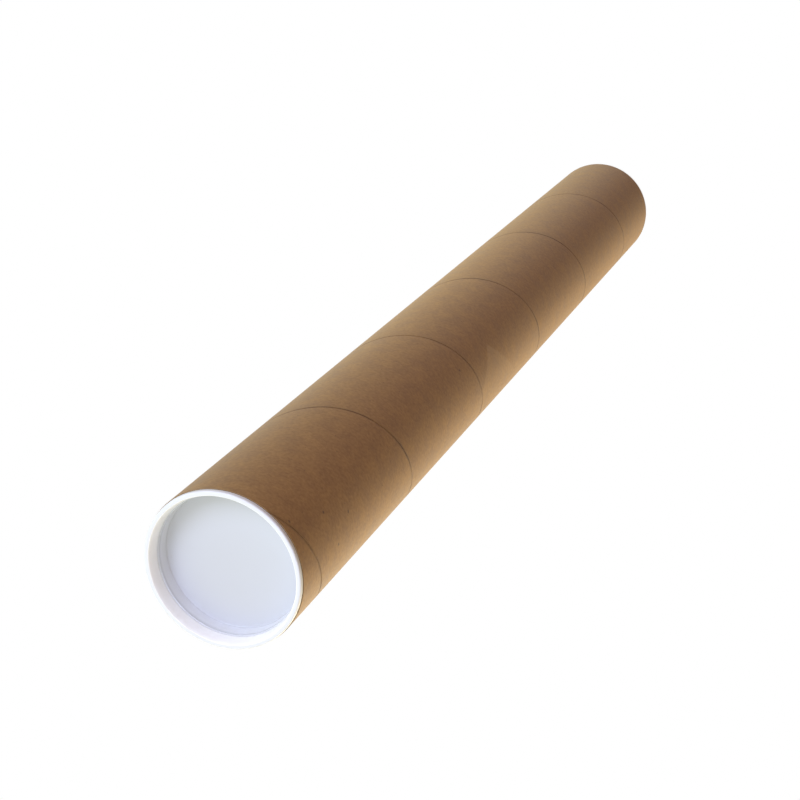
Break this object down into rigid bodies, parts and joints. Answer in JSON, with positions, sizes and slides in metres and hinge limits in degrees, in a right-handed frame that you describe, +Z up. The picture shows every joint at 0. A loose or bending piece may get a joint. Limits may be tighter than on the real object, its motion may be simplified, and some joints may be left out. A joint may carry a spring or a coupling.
{
  "type": "mailing tube",
  "caption": "Spiral-wound kraft paper mailing tube, closed at both ends by recessed white push-in plugs that pull straight out.",
  "frame": {"origin": "centre of the lower plug's outer face, on the surface that the tube stands on", "axes": "+Z up along the tube's axis to the plug that the picture shows, -Y towards the side of the tube that the picture is taken from"},
  "size_m": [0.076, 0.076, 0.7],
  "materials": {
    "kraft_paper": "matt brown kraft paper with a faint calendered sheen",
    "white_plastic": "satin white moulded plastic"
  },
  "bodies": {
    "tube": {"tube": "kraft_paper"},
    "top_plug": {"top_plug": "white_plastic"},
    "bottom_plug": {"bottom_plug": "white_plastic"}
  },
  "joints": [
    {"name": "top_plug_pull", "type": "slide", "parent": "tube", "child": "top_plug", "axis": [0, 0, 1], "range_m": [0, 0.12]},
    {"name": "bottom_plug_pull", "type": "slide", "parent": "tube", "child": "bottom_plug", "axis": [0, 0, -1], "range_m": [0, 0.12]}
  ]
}
